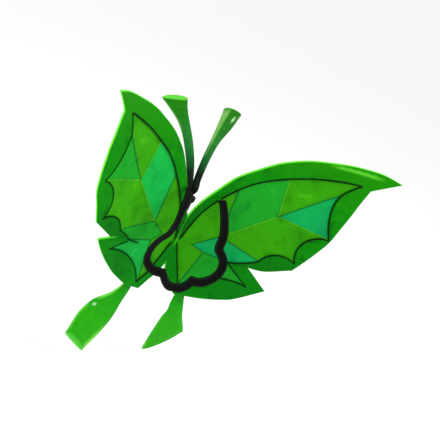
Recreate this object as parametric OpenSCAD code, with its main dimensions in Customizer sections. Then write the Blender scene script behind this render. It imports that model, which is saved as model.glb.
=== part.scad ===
// Leaf fairy wings: two rigid leaf wings hinged on a spine, with antennae, tails and a harness band.
// Row frame: +X to the right wing, +Y away from the wearer, +Z up along the spine.
// The origin is the middle of the spine batten's back face.

/* [Wing sheet] */
// Radius that the wings curve on, about a vertical axis on the wearer's side
wing_radius = 708; // [600:1:900]
// Angle that each wing leaves the spine at, forward of the side
root_angle = 11.2; // [6:0.1:16]
// Thickness of the foam leaf frames
frame_t = 6; // [4:0.5:7]
// Thickness of the coloured panes
pane_t = 1.4; // [1:0.1:2]
// Thickness of the clear backing film
film_t = 0.4; // [0.3:0.1:0.6]

/* [Outline] */
// Width of the dark piping round the windows
piping_w = 3.6; // [2.5:0.1:5]
// Width of the veins between the panes
vein_w = 2.2; // [1.5:0.1:3]

/* [Harness] */
// Width of the harness band
band_w = 18; // [14:1:20]
// Thickness of the harness band
band_t = 3; // [2:0.5:4]
// Distance from the spine valley forward to the hanging band
band_reach = 70; // [60:1:80]

/* [Spine] */
// Radius of the steel hinge pin
pin_r = 2; // [1.5:0.1:2.4]
// Radial running clearance in the hinges
running = 0.06; // [0.03:0.01:0.1]
// Radius of the hinge knuckles
knuckle_r = 4; // [3.6:0.1:4.4]
// Height of one knuckle
knuckle_h = 14.6; // [14:0.1:14.8]
// Width of the spine batten
batten_w = 14; // [10:1:15]

/* [Antennae] */
// Radius of the barrel that each antenna tilts on
barrel_r = 4; // [3.5:0.1:4.2]

/* [Tails] */
// Radius of the tail rivets
rivet_r = 2; // [1.5:0.1:2.4]

/* [Hidden] */
$fn = 48;

LEFT = -1;
RIGHT = 1;

// Depth from the spine valley back to the batten's back face
spine_depth = 18;
// The hinge axis stands this far behind the valley
hinge_y = 9;
batten_t = 4;

// Layers through the wing, from the mid surface: minus is the wearer's side
frame_front = -frame_t / 2;
frame_back = frame_t / 2;
film_back = 1;
film_front = film_back - film_t;
pane_front = film_front - pane_t;
vein_front = pane_front - 1.4;
piping_front = frame_front - 2;
leaf_back = frame_back + 1.5;

// The curve's centre puts the mid surface through the valley
wing_centre = [-wing_radius * sin(root_angle), -wing_radius * cos(root_angle)];

function unit(v) = v / norm(v);

// ---- Outlines in the XZ plane of the right wing, millimetres ----

// Points from p to q, without q, on an arc that stands s to the left of the way from p to q
function arc_points(p, q, s, n) =
    let (d = q - p, half = norm(d) / 2, side = sign(s))
    let (r = (half * half + s * s) / (2 * abs(s)), out = side * [-d[1], d[0]] / (2 * half))
    let (c = (p + q) / 2 - out * (r - abs(s)), a = atan2(out[1], out[0]), h = asin(half / r))
    [for (i = [0 : n - 1]) let (b = a + side * h * (1 - 2 * i / n)) c + r * [cos(b), sin(b)]];

// The two wings were cut by hand and differ a little
function pick(side, right, left) = side == RIGHT ? right : left;

root_top = [5, -20];
function root_low(side) = pick(side, [1.6, -26], [9, -27]);
function tip(side) = pick(side, [268, 233.6], [262.5, 233]);
function trailing_joint(side) = pick(side, [244, 196.5], [239.5, 192.5]);
function cusp_outer(side) = pick(side, [261, 102], [254, 97]);
function cusp_corner(side) = pick(side, [228, 24.6], [214.5, 15]);
function cusp_lower(side) = pick(side, [168, -3], [155, -11.5]);
function junction(side) = pick(side, [114.5, -31], [118, -33]);
function hind_tip(side) = pick(side, [169, -66], [160, -53]);
function hind_cusp(side) = pick(side, [46.5, -122.5], [51, -129]);
// Inner corners where the veins meet
function fore_node(side) = pick(side, [163.5, 101.5], [159.5, 96.8]);
function mid_node(side) = pick(side, [80, 14.3], [75, 11]);
function root_node(side) = pick(side, [34, -22.5], [42, -14]);
function low_node(side) = pick(side, [62.5, -30], [64, -31]);
function hind_foot(side) = pick(side, [44.8, -114], [49, -121]);
// Where veins meet the leading window edge
function lead_outer(side) = pick(side, [150.5, 184.8], [153.5, 181]);
function lead_inner(side) = pick(side, [70.6, 123], [77.8, 117.8]);

function lead_edge_inner(side) = concat([root_top], pick(side,
    [[11.8, 14.4], [27, 60], [43, 86.5], [57.4, 106.8]],
    [[13.6, 10], [33.4, 58.5], [49.5, 82], [63.4, 101]]));
function lead_edge_mid(side) = concat([lead_inner(side)], pick(side,
    [[90.5, 143.7], [113.7, 161.8], [132.6, 174]],
    [[95.6, 138], [117, 156.8], [135, 170]]));
function lead_edge_outer(side) = concat([lead_outer(side)], pick(side,
    [[171, 195.6], [189.8, 205], [224.4, 219.6], [250.4, 229]],
    [[172.4, 192.6], [191, 202.8], [226, 218.8], [248, 228]]));
function trailing_upper(side) = [tip(side), pick(side, [256.5, 218.5], [249.5, 212])];
function trailing_lower(side) = concat([trailing_joint(side)], pick(side,
    [[240.6, 172], [244.4, 146], [252, 121.5]],
    [[236.4, 167], [237.4, 142], [243, 118.5]]));
function scallop_outer(side) = arc_points(cusp_outer(side), cusp_corner(side), -22, 8);
function scallop_corner(side) = arc_points(cusp_corner(side), cusp_lower(side), -15.5, 7);
function scallop_lower(side) = arc_points(cusp_lower(side), junction(side), pick(side, 3, -2), 4);
function scallop_hind(side) = arc_points(hind_tip(side), hind_cusp(side), -20, 8);
function hind_edge_inner(side) =
    concat([hind_cusp(side)], pick(side, [], [[34.5, -104], [27.5, -85]]), [root_low(side)]);

function fore_window_edge(side) = concat(lead_edge_inner(side), lead_edge_mid(side), lead_edge_outer(side),
    trailing_upper(side), trailing_lower(side), scallop_outer(side), scallop_corner(side), scallop_lower(side),
    [junction(side)]);
function hind_window_edge(side) = concat([junction(side)], scallop_hind(side), hind_edge_inner(side));

// Outer edges
right_fore_silhouette = [[0.5, -23], [0.5, 31], [4, 47], [12, 68], [22, 87], [34, 107], [45, 126],
    [57, 144], [71, 159], [87, 174], [104, 190], [120, 204], [147, 222], [175, 237], [197, 246],
    [218, 254], [240, 262], [262, 268], [292, 274], [323, 273], [284, 232], [279, 200], [275, 167],
    [270, 134], [265, 102], [249, 54], [230, 9], [175, -22], [156, -25]];
left_fore_silhouette = [[0.5, -23], [0.5, 30], [7.5, 42], [17, 59], [26, 76], [34.8, 92.8], [45, 109.4],
    [55.1, 125.2], [64, 138.2], [75.4, 153.6], [88, 168.5], [106, 185.5], [126, 202], [150, 217.5],
    [172, 229.5], [198, 243], [225, 253.5], [250, 261], [274, 268], [296, 273], [321, 274],
    [300, 253], [285, 236], [284, 219], [282.5, 202], [281, 184], [280, 165], [277, 144], [274, 123],
    [269.5, 100], [263.5, 77], [245, 43], [227, 8], [172, -26], [157, -26]];
right_hind_silhouette = [[156, -25], [204, -57], [190, -71], [176, -85], [163, -97], [150, -107],
    [137, -113.5], [123, -119.5], [97, -128.5], [72, -134], [46, -139], [37, -134], [22, -119],
    [9, -101], [0.5, -78], [0.5, -23]];
left_hind_silhouette = [[157, -26], [202, -30], [187, -49], [171, -66.5], [155, -82], [138, -96.5],
    [123, -108.5], [107, -118.5], [78, -134.5], [38, -144], [24, -123], [9, -101], [0.5, -78], [0.5, -23]];

function reversed(points, last) = [for (i = [last : -1 : 0]) points[i]];
function fore_frame_outline(side) = let (edge = fore_window_edge(side))
    concat(pick(side, right_fore_silhouette, left_fore_silhouette), reversed(edge, len(edge) - 1));
function hind_frame_outline(side) = let (edge = hind_window_edge(side))
    concat(pick(side, right_hind_silhouette, left_hind_silhouette), [root_top], reversed(edge, len(edge) - 1));

function tip_pane(side) =
    concat(lead_edge_outer(side), trailing_upper(side), [trailing_joint(side), fore_node(side)]);
function trailing_pane(side) = concat(trailing_lower(side), [cusp_outer(side), fore_node(side)]);
function leading_pane(side) = concat(lead_edge_mid(side), [lead_outer(side), fore_node(side), mid_node(side)]);
function outer_pane(side) = concat(scallop_outer(side), scallop_corner(side),
    [cusp_lower(side), mid_node(side), fore_node(side)]);
function root_pane(side) = concat(lead_edge_inner(side), [lead_inner(side), mid_node(side), root_node(side)]);
function lower_pane(side) = concat(scallop_lower(side),
    [junction(side), low_node(side), root_node(side), mid_node(side)]);
function hind_pane(side) =
    concat([junction(side)], scallop_hind(side), [hind_cusp(side), hind_foot(side), low_node(side)]);
function hind_root_pane(side) =
    concat([root_top, root_node(side), low_node(side), hind_foot(side)], hind_edge_inner(side));

function fore_film_outline(side) = concat(fore_window_edge(side), [low_node(side), root_node(side)]);
function hind_film_outline(side) = concat([root_top, root_node(side), low_node(side), junction(side)],
    scallop_hind(side), hind_edge_inner(side));

// A vein stops just short of the window's edge
function towards(p, q) = [p, q - 2 * unit(q - p)];
function vein_lines(side) =
    let (fore = fore_node(side), mid = mid_node(side), root = root_node(side), low = low_node(side))
    [
        towards(fore, lead_outer(side)), towards(fore, trailing_joint(side)), towards(fore, cusp_outer(side)),
        [fore, mid], towards(mid, lead_inner(side)), towards(mid, cusp_lower(side)),
        [mid, root], [root, low], towards(low, junction(side)), towards(low, hind_foot(side))
    ];

// Outline of a strip of width w that follows a path, with mitred corners
function left_of(v) = [-v[1], v[0]];
function mitre(path, i) =
    let (a = unit(path[max(i, 1)] - path[max(i, 1) - 1]))
    let (b = unit(path[min(i + 1, len(path) - 1)] - path[min(i, len(path) - 2)]))
    (left_of(a) + left_of(b)) / max(0.35, 1 + a * b);
function strip(path, w) = concat(
    [for (i = [0 : len(path) - 1]) path[i] + mitre(path, i) * w / 2],
    [for (i = [len(path) - 1 : -1 : 0]) path[i] - mitre(path, i) * w / 2]);

// A path without its last point
function without_last(points) = [for (i = [0 : len(points) - 2]) points[i]];
function fore_piping_path(side) = concat(fore_window_edge(side), [pick(side, [105, -34], [90, -39])]);
function hind_piping_path(side) = let (inner = hind_edge_inner(side))
    concat([pick(side, [116, -33], [119, -34.5])], scallop_hind(side), without_last(inner),
        [pick(side, [5.8, -35], [11.5, -35.2])]);

// ---- Placing ----

// The spine frame has its origin in the valley, where the two wings meet
module at_spine() {
    translate([0, -spine_depth, 0]) children();
}

module on_side(side) {
    if (side == RIGHT) children();
    else mirror([1, 0, 0]) children();
}

// An outline in XZ, carried through the whole depth of the wings
module prism(points) {
    translate([0, 40, 0]) rotate([90, 0, 0]) linear_extrude(height = 300) polygon(points);
}

module behind_surface(offset) {
    translate([wing_centre[0], wing_centre[1], -400]) cylinder(r = wing_radius + offset, h = 800, $fn = 720);
}

// The part of the curved wing sheet between two layers, cut to an outline
module wing_part(points, front, back) {
    intersection() {
        prism(points);
        difference() {
            behind_surface(back);
            behind_surface(front);
        }
    }
}

// The local frame of the tail's rivet: X along the wing, Y through it, Z up
tail_pivot_x = 64;
tail_pivot_z = -121;
tail_pivot_turn = asin((tail_pivot_x - wing_centre[0]) / wing_radius);
module at_tail_pivot() {
    translate([wing_centre[0], wing_centre[1], tail_pivot_z]) rotate([0, 0, -tail_pivot_turn])
        translate([0, wing_radius, 0]) children();
}

// A round bar through the wing at a point, between two layers
module through_wing(x, z, r, front, back) {
    translate([wing_centre[0], wing_centre[1], z]) rotate([0, 0, -asin((x - wing_centre[0]) / wing_radius)])
        translate([0, wing_radius + front, 0]) rotate([-90, 0, 0]) cylinder(r = r, h = back - front);
}

// ---- Wing pieces ----

leaf_rivet_places = [[8, -57], [6.5, -42], [7, 18]];
// The rivets are blind: they stop inside the foam, short of the front
blind_front = -1.5;

module fore_frame(side) {
    color([0.1, 0.55, 0.1]) at_spine() on_side(side) difference() {
        wing_part(fore_frame_outline(side), frame_front, frame_back);
        through_wing(leaf_rivet_places[2][0], leaf_rivet_places[2][1], 1.5, blind_front, 10);
    }
}

module hind_frame(side) {
    color([0.08, 0.5, 0.12]) at_spine() on_side(side) difference() {
        wing_part(hind_frame_outline(side), frame_front, frame_back);
        through_wing(tail_pivot_x, tail_pivot_z, rivet_r, blind_front, 10);
        for (i = [0, 1]) through_wing(leaf_rivet_places[i][0], leaf_rivet_places[i][1], 1.5, blind_front, 10);
    }
}

module piping(side, path) {
    color([0.03, 0.12, 0.04]) at_spine() on_side(side)
        wing_part(strip(path, piping_w), piping_front, frame_front);
}

module pane(side, points, shade) {
    color(shade) at_spine() on_side(side) wing_part(points, pane_front, film_front);
}

module film(side, points) {
    color([0.8, 0.95, 0.8, 0.4]) at_spine() on_side(side) wing_part(points, film_front, film_back);
}

module veins(side) {
    color([0.45, 0.85, 0.25]) at_spine() on_side(side) intersection() {
        difference() {
            behind_surface(pane_front);
            behind_surface(vein_front);
        }
        translate([0, 40, 0]) rotate([90, 0, 0]) linear_extrude(height = 300)
            for (line = vein_lines(side)) polygon(strip(line, vein_w));
    }
}

// A short green tab that carries the band's end in front of the leading edge
tab_centre = [38.6, 91];
module strap_tab(side) {
    color([0.1, 0.5, 0.1]) at_spine() on_side(side) intersection() {
        union() {
            translate([tab_centre[0] - 3.8, -32.4, tab_centre[1] - 1.25]) cube([7.6, 32.4, 2.5]);
            wing_part([[33.8, 86], [40.2, 86.8], [42.6, 90], [45.4, 95], [37.5, 95]], frame_front - 1.5,
                frame_front);
        }
        behind_surface(frame_front);
    }
}

module hinge_leaf(side) {
    first = side == RIGHT ? 0 : 1;
    color([0.2, 0.2, 0.22]) at_spine() on_side(side) difference() {
        union() {
            wing_part([[2.5, -62], [12.5, -62], [12.5, -38], [9, -30], [9, 12], [12, 24], [2.5, 24]],
                frame_back, leaf_back);
            for (i = [first, first + 2, first + 4]) translate([0, 0, -64 + 0.2 + i * 15]) {
                translate([0, hinge_y, 0]) cylinder(r = knuckle_r, h = knuckle_h);
                translate([2.5, 3.4, 0]) cube([1.5, hinge_y - 3.4, knuckle_h]);
            }
        }
        translate([0, hinge_y, -70]) cylinder(r = pin_r + running, h = 110);
        for (p = leaf_rivet_places) through_wing(p[0], p[1], 1.5, -10, 10);
    }
}

module leaf_rivets(side) {
    color([0.75, 0.75, 0.78]) at_spine() on_side(side) for (p = leaf_rivet_places) {
        through_wing(p[0], p[1], 1.5, blind_front, leaf_back + 0.8);
        through_wing(p[0], p[1], 2.8, leaf_back, leaf_back + 0.8);
    }
}

module tail_rivet(side) {
    color([0.75, 0.75, 0.78]) at_spine() on_side(side) {
        through_wing(tail_pivot_x, tail_pivot_z, rivet_r, blind_front, 6.6);
        through_wing(tail_pivot_x, tail_pivot_z, 4, 5.6, 6.6);
    }
}

// ---- Flared horns: the antennae and the tails ----

// A ring is [centre, long half axis, short half axis]
ring_sides = 16;
function ring_points(ring) =
    [for (i = [0 : ring_sides - 1])
        ring[0] + ring[1] * cos(360 * i / ring_sides) + ring[2] * sin(360 * i / ring_sides)];
module horn(rings) {
    n = ring_sides;
    last = (len(rings) - 1) * n;
    polyhedron(
        points = [for (ring = rings) each ring_points(ring)],
        faces = concat(
            [[for (i = [0 : n - 1]) i]],
            [for (k = [0 : len(rings) - 2], i = [0 : n - 1])
                [k * n + i, (k + 1) * n + i, (k + 1) * n + (i + 1) % n]],
            [for (k = [0 : len(rings) - 2], i = [0 : n - 1])
                [k * n + i, (k + 1) * n + (i + 1) % n, k * n + (i + 1) % n]],
            [[for (i = [n - 1 : -1 : 0]) last + i]]));
}

foot_x = 5.2;
foot_y = 25.5;
foot_z = 62;
barrel_half = 4;
neck_r = 2.3;
left_stalk_way = unit([-6.8, 16.5, 41]);
right_stalk_way = unit([6.4, 16.5, 36]);
left_foot = [-foot_x, foot_y, foot_z];
right_foot = [foot_x, foot_y, foot_z];

// Rings from the foot of the stalk to the mouth
left_antenna_rings = [
    [left_foot + 10 * left_stalk_way, [-4.6, 0, 0], [0, -4.2, 1.7]],
    [left_foot + 14 * left_stalk_way, [-6.6, 0, 0], [0, -5.5, 2.2]],
    [[-10.8, 42, 103], [-7.6, 0, -1], [0, -6, 2.4]],
    [[-26, 61, 147], [-9, 0, -2], [0, -5.8, 3]],
    [[-43.8, 90, 186], [-11.6, 0, -2.5], [-0.5, -6, 3.4]],
    [[-59, 112, 207], [-19.5, 1, -4.2], [-3, -8, 1]],
    [[-70, 126, 220.5], [-26.5, 2, -6], [-7, -8.5, -4]]
];
right_antenna_rings = [
    [right_foot + 10 * right_stalk_way, [-4.6, 0, 0], [0, -4.2, 1.7]],
    [right_foot + 14 * right_stalk_way, [-6.6, 0, 0], [0, -5.5, 2.2]],
    [[10, 42, 98], [-7.6, 0, 1.2], [0, -6, 2.4]],
    [[19, 61, 138], [-8.4, 0, 1.8], [0, -5.8, 3]],
    [[37.4, 88, 177], [-10.8, 0, 2.4], [0, -6, 4.4]],
    [[53.4, 106, 204.6], [-17.6, -2, 2.8], [0, -8, 6]],
    [[65.8, 122.5, 233], [-22, -3.5, 3], [3, -11, 8]]
];

module antenna(foot, way, rings) {
    color([0.15, 0.6, 0.1]) at_spine() union() {
        translate(foot - [barrel_half, 0, 0]) rotate([0, 90, 0]) cylinder(r = barrel_r, h = 2 * barrel_half);
        translate(foot) rotate([0, 0, atan2(way[1], way[0])]) rotate([0, acos(way[2]), 0])
            cylinder(r = neck_r, h = 12);
        horn(rings);
    }
}

// A thin lining over the mouth of a horn, standing on its last ring
module mouth_lining(rings, outward, shade) {
    last = rings[len(rings) - 1];
    color(shade) at_spine()
        horn([[last[0], 0.94 * last[1], 0.94 * last[2]], [last[0] + outward, 0.9 * last[1], 0.9 * last[2]]]);
}

left_tail_rings = [
    [[-65.5, -11, -126], [-8.6, -2.4, 0], [-0.26, 0.87, 0]],
    [[-62.5, -7, -141], [-11, -2.2, 1], [-0.8, 2.9, 0.4]],
    [[-72.5, -7, -173], [-14.6, 0, 8], [-0.5, 5.5, 2]],
    [[-89.7, -5, -209], [-28.4, 0, 17], [-0.5, 7, 0]],
    [[-98.5, -4, -231], [-31.5, 0, 19], [0, 8, -2]],
    [[-113, 1, -295], [-26.5, 0, 17.5], [2, 8, -9]]
];
right_tail_rings = [
    [[65.5, -11, -126], [-8.6, 2.4, 0], [0.26, 0.87, 0]],
    [[63.8, -7, -141], [-10.6, 2.2, -0.5], [0.8, 2.9, 0.4]],
    [[68, -5, -158], [-13.8, 1, 0], [0.5, 4.5, 1.2]],
    [[79, 2, -190], [-20.4, 1, 3.2], [0.5, 6, 2]],
    [[90.5, 12, -217], [-29, 3, 6], [1, 9, 4]],
    [[102, 38, -277], [-23.5, 20, -41.5], [1.6, 10, 4]]
];
left_tail_mouth_way = [-0.6, 0.5, -2];
right_tail_mouth_way = [0.7, 1, -1.6];

module tail(side, rings) {
    color([0.12, 0.58, 0.08]) at_spine() difference() {
        union() {
            on_side(side) at_tail_pivot() translate([0, 3.4, 0]) rotate([-90, 0, 0])
                cylinder(r = 7.5, h = 1.8);
            horn(rings);
        }
        on_side(side) at_tail_pivot() rotate([-90, 0, 0]) cylinder(r = rivet_r + running, h = 30);
        on_side(side) at_tail_pivot() translate([0, 5.4, 0]) rotate([-90, 0, 0]) cylinder(r = 8.5, h = 12);
        on_side(side) at_tail_pivot() translate([-30, -17, -22]) cube([60, 20.4, 60]);
    }
}

// ---- Spine ----

module spine_batten() {
    color([0.12, 0.12, 0.13]) at_spine() difference() {
        union() {
            translate([-batten_w / 2, spine_depth - batten_t, -96]) cube([batten_w, batten_t, 121]);
            translate([-4, spine_depth - batten_t, 25]) cube([8, batten_t, 15]);
            translate([-4, spine_depth - batten_t, 40]) cube([8, batten_t - 0.5, 25]);
            for (z = [-72, 26.4]) {
                translate([0, hinge_y, z]) cylinder(r = knuckle_r, h = 7.6);
                translate([-knuckle_r, hinge_y, z])
                    cube([2 * knuckle_r, spine_depth - batten_t - hinge_y, 7.6]);
            }
        }
        translate([0, hinge_y, -80]) cylinder(r = pin_r, h = 130);
        translate([0, 0, -86]) rotate([-90, 0, 0]) cylinder(r = 2.5, h = 40);
    }
}

module hinge_pin() {
    color([0.8, 0.8, 0.82]) at_spine() translate([0, hinge_y, -73]) cylinder(r = pin_r, h = 108);
}

// The slot that a stalk's neck swings in as the antenna tilts
module neck_slot(foot, way) {
    side = sign(foot[0]);
    translate([foot[0] - (side > 0 ? 2.8 : 4.2), foot[1], foot[2]]) rotate([90 - atan2(way[1], way[2]), 0, 0])
        rotate([0, 90, 0]) linear_extrude(height = 7)
            polygon([[2.7, 0], [5, 14.5], [-5, 14.5], [-2.7, 0]]);
}

module antenna_socket() {
    color([0.05, 0.05, 0.06]) at_spine() difference() {
        translate([0, 33, 0]) rotate([90, 0, 0]) linear_extrude(height = 33 - spine_depth + 0.5)
            polygon([[-4.2, 43], [4.2, 43], [5, 52], [10.8, 57.4], [10.8, 66.6], [9.2, 68.4], [-9.2, 68.4],
                [-10.8, 66.6], [-10.8, 57.4], [-5, 52]]);
        for (foot = [left_foot, right_foot]) translate(foot - [barrel_half + 0.1, 0, 0]) rotate([0, 90, 0])
            cylinder(r = barrel_r + 0.05, h = 2 * barrel_half + 0.2);
        neck_slot(left_foot, left_stalk_way);
        neck_slot(right_foot, right_stalk_way);
    }
}

// ---- Harness band ----

band_bend_z = 25;
band_bend_r = 83.5;

// The band's centre line: a scallop in the middle, a sharp corner, a lobe, then up to the tab
function band_path(side) = pick(side,
    [[0, -96], [7, -96], [14, -94.8], [20, -91.2], [26, -85.5], [30, -79], [33, -73.5], [42, -74.2],
        [51, -73.6], [60, -70.4], [68, -65.2], [75, -58.8], [80.5, -51], [84, -42.5], [84.6, -33], [83, -24.5],
        [79, -16], [72.5, -7.6], [65.5, -0.8], [58.5, 5], [55.6, 12], [55, 22], [53.6, 34], [51.5, 44],
        [48.2, 54], [45, 66], [41.5, 79], [37.6, 95]],
    [[0, -96], [7, -96], [14, -94.2], [20.5, -90], [26.5, -84.5], [32, -78], [38.5, -70.5], [48, -70.6],
        [57, -69.6], [66, -67], [74.5, -61.8], [81, -54.5], [85, -46.5], [86.4, -37.5], [85.6, -27], [83, -17],
        [79, -7.5], [73.5, 0.5], [67.5, 7.5], [63, 15.5], [60.5, 27], [57.5, 40], [56, 54], [52.5, 69],
        [47, 82], [39.5, 96.5]]);

// The band hangs straight down from the bend and curves back to the wing above it
band_profile = concat([[-band_reach, -120]], [for (a = [0 : 6 : 72])
    [-band_reach + band_bend_r * (1 - cos(a)), band_bend_z + band_bend_r * sin(a)]]);

module harness_band(side) {
    color([0.07, 0.07, 0.07]) at_spine() on_side(side) intersection() {
        translate([0, 40, 0]) rotate([90, 0, 0]) linear_extrude(height = 200)
            polygon(strip(band_path(side), band_w));
        rotate([90, 0, 90]) linear_extrude(height = 120) polygon(strip(band_profile, band_t));
    }
}

spine_batten();
hinge_pin();
antenna_socket();
harness_band(LEFT);  // left_harness_band
harness_band(RIGHT);  // right_harness_band
antenna(left_foot, left_stalk_way, left_antenna_rings);  // left_antenna
mouth_lining(left_antenna_rings, [-0.5, 0.7, 1.2], "yellowgreen");  // left_antenna_lining
antenna(right_foot, right_stalk_way, right_antenna_rings);  // right_antenna
mouth_lining(right_antenna_rings, [0.5, 0.7, 1.3], "yellowgreen");  // right_antenna_lining
tail(LEFT, left_tail_rings);  // left_tail
mouth_lining(left_tail_rings, left_tail_mouth_way, "yellowgreen");  // left_tail_lining
tail(RIGHT, right_tail_rings);  // right_tail
mouth_lining(right_tail_rings, right_tail_mouth_way, "yellowgreen");  // right_tail_lining
fore_frame(LEFT);  // left_fore_frame
hind_frame(LEFT);  // left_hind_frame
piping(LEFT, fore_piping_path(LEFT));  // left_fore_piping
piping(LEFT, hind_piping_path(LEFT));  // left_hind_piping
pane(LEFT, tip_pane(LEFT), [0.2, 0.68, 0.08]);  // left_tip_pane
pane(LEFT, trailing_pane(LEFT), [0.12, 0.68, 0.18]);  // left_trailing_pane
pane(LEFT, leading_pane(LEFT), [0.12, 0.78, 0.32]);  // left_leading_pane
pane(LEFT, outer_pane(LEFT), [0.2, 0.68, 0.08]);  // left_outer_pane
pane(LEFT, root_pane(LEFT), [0.2, 0.7, 0.08]);  // left_root_pane
pane(LEFT, lower_pane(LEFT), [0.12, 0.68, 0.18]);  // left_lower_pane
pane(LEFT, hind_pane(LEFT), [0.12, 0.74, 0.3]);  // left_hind_pane
pane(LEFT, hind_root_pane(LEFT), [0.2, 0.68, 0.08]);  // left_hind_root_pane
film(LEFT, fore_film_outline(LEFT));  // left_fore_film
film(LEFT, hind_film_outline(LEFT));  // left_hind_film
veins(LEFT);  // left_veins
strap_tab(LEFT);  // left_strap_tab
hinge_leaf(LEFT);  // left_hinge_leaf
leaf_rivets(LEFT);  // left_leaf_rivets
tail_rivet(LEFT);  // left_tail_rivet
fore_frame(RIGHT);  // right_fore_frame
hind_frame(RIGHT);  // right_hind_frame
piping(RIGHT, fore_piping_path(RIGHT));  // right_fore_piping
piping(RIGHT, hind_piping_path(RIGHT));  // right_hind_piping
pane(RIGHT, tip_pane(RIGHT), [0.2, 0.62, 0.08]);  // right_tip_pane
pane(RIGHT, trailing_pane(RIGHT), [0.08, 0.65, 0.4]);  // right_trailing_pane
pane(RIGHT, leading_pane(RIGHT), [0.1, 0.6, 0.2]);  // right_leading_pane
pane(RIGHT, outer_pane(RIGHT), [0.2, 0.6, 0.08]);  // right_outer_pane
pane(RIGHT, root_pane(RIGHT), [0.2, 0.6, 0.08]);  // right_root_pane
pane(RIGHT, lower_pane(RIGHT), [0.08, 0.65, 0.38]);  // right_lower_pane
pane(RIGHT, hind_pane(RIGHT), [0.12, 0.6, 0.2]);  // right_hind_pane
pane(RIGHT, hind_root_pane(RIGHT), [0.2, 0.6, 0.08]);  // right_hind_root_pane
film(RIGHT, fore_film_outline(RIGHT));  // right_fore_film
film(RIGHT, hind_film_outline(RIGHT));  // right_hind_film
veins(RIGHT);  // right_veins
strap_tab(RIGHT);  // right_strap_tab
hinge_leaf(RIGHT);  // right_hinge_leaf
leaf_rivets(RIGHT);  // right_leaf_rivets
tail_rivet(RIGHT);  // right_tail_rivet
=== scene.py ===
import math

import bpy
import numpy as np
from mathutils import Matrix, Vector
from mathutils.geometry import delaunay_2d_cdt


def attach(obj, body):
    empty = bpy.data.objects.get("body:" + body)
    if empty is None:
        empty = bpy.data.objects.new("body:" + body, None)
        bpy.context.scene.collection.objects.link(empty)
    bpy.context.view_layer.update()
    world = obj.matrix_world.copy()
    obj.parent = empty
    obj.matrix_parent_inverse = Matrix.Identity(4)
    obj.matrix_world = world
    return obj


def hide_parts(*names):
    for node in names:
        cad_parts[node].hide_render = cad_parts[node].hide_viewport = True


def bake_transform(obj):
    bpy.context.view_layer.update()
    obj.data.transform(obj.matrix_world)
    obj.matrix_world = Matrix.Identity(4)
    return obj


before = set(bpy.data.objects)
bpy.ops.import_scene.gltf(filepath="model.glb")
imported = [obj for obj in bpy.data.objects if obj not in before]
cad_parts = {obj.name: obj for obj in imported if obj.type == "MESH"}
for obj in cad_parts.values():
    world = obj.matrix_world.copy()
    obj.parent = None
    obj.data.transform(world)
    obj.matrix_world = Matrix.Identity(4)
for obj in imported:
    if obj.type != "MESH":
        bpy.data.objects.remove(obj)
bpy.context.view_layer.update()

# ---- Camera, floor and light ----

scene = bpy.context.scene
scene.view_settings.view_transform = "Standard"

camera_data = bpy.data.cameras.new("camera")
camera_data.sensor_width = 36.0
camera_data.lens = 81.8
camera_data.clip_end = 200.0
camera = bpy.data.objects.new("camera", camera_data)
scene.collection.objects.link(camera)
camera.matrix_world = Matrix((
    (0.816, -0.2198, -0.5346, -1.0187),
    (-0.3917, 0.47, -0.791, -1.6365),
    (0.4251, 0.8549, 0.2974, 0.6502),
    (0, 0, 0, 1)))
scene.camera = camera

world = bpy.data.worlds.new("studio")
scene.world = world
world.use_nodes = True
background = world.node_tree.nodes["Background"]
background.inputs["Color"].default_value = (1.0, 1.0, 1.0, 1)
background.inputs["Strength"].default_value = 1.0


def area_light(name, where, target, size, power, colour=(1, 1, 1)):
    data = bpy.data.lights.new(name, "AREA")
    data.shape = "DISK"
    data.size = size
    data.energy = power
    data.color = colour
    lamp = bpy.data.objects.new(name, data)
    scene.collection.objects.link(lamp)
    lamp.location = where
    lamp.rotation_euler = (Vector(target) - Vector(where)).to_track_quat("-Z", "Y").to_euler()


area_light("key", (1.7, -1.4, 1.9), (0, 0, 0), 1.3, 30)
area_light("side", (-1.7, -1.2, 0.9), (0, 0, 0), 1.4, 6)
area_light("edge", (-1.9, 0.3, 0.6), (-0.1, 0, 0), 0.8, 6)


# ---- Colour and materials ----

def srgb(r, g, b):
    def lin(c):
        c /= 255
        return c / 12.92 if c <= 0.04045 else ((c + 0.055) / 1.055) ** 2.4
    return (lin(r), lin(g), lin(b), 1)


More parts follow.
